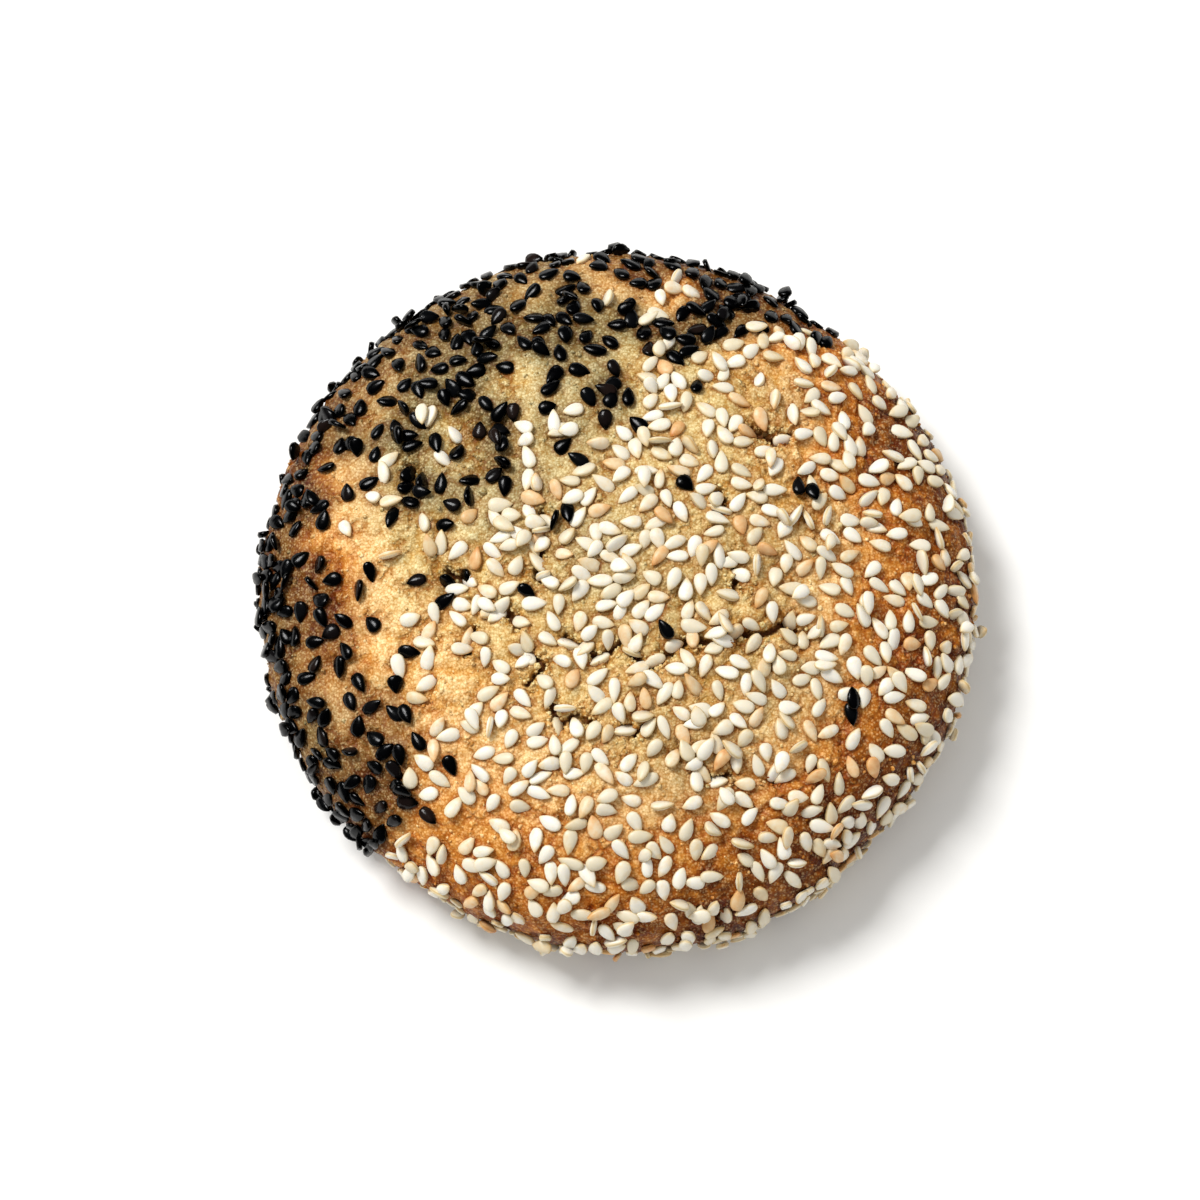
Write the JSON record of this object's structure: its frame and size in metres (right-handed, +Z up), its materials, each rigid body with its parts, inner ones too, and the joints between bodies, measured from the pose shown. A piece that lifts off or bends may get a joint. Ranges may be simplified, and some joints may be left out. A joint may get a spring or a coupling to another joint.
{
  "type": "sesame cookie",
  "caption": "Thick round baked cookie with a low domed top, rounded sides and a flat base, coated in black and white sesame seeds.",
  "frame": {"origin": "middle of the flat base, on the surface that the cookie lies on", "axes": "+Z up through the crown of the dome, +Y towards the side that is thick with black seeds at the top of the picture, +X to the picture's right"},
  "size_m": [0.1001, 0.1, 0.0263],
  "materials": {
    "baked_dough": "matte"
  },
  "bodies": {
    "root": {"cookie": "baked_dough"}
  },
  "joints": []
}
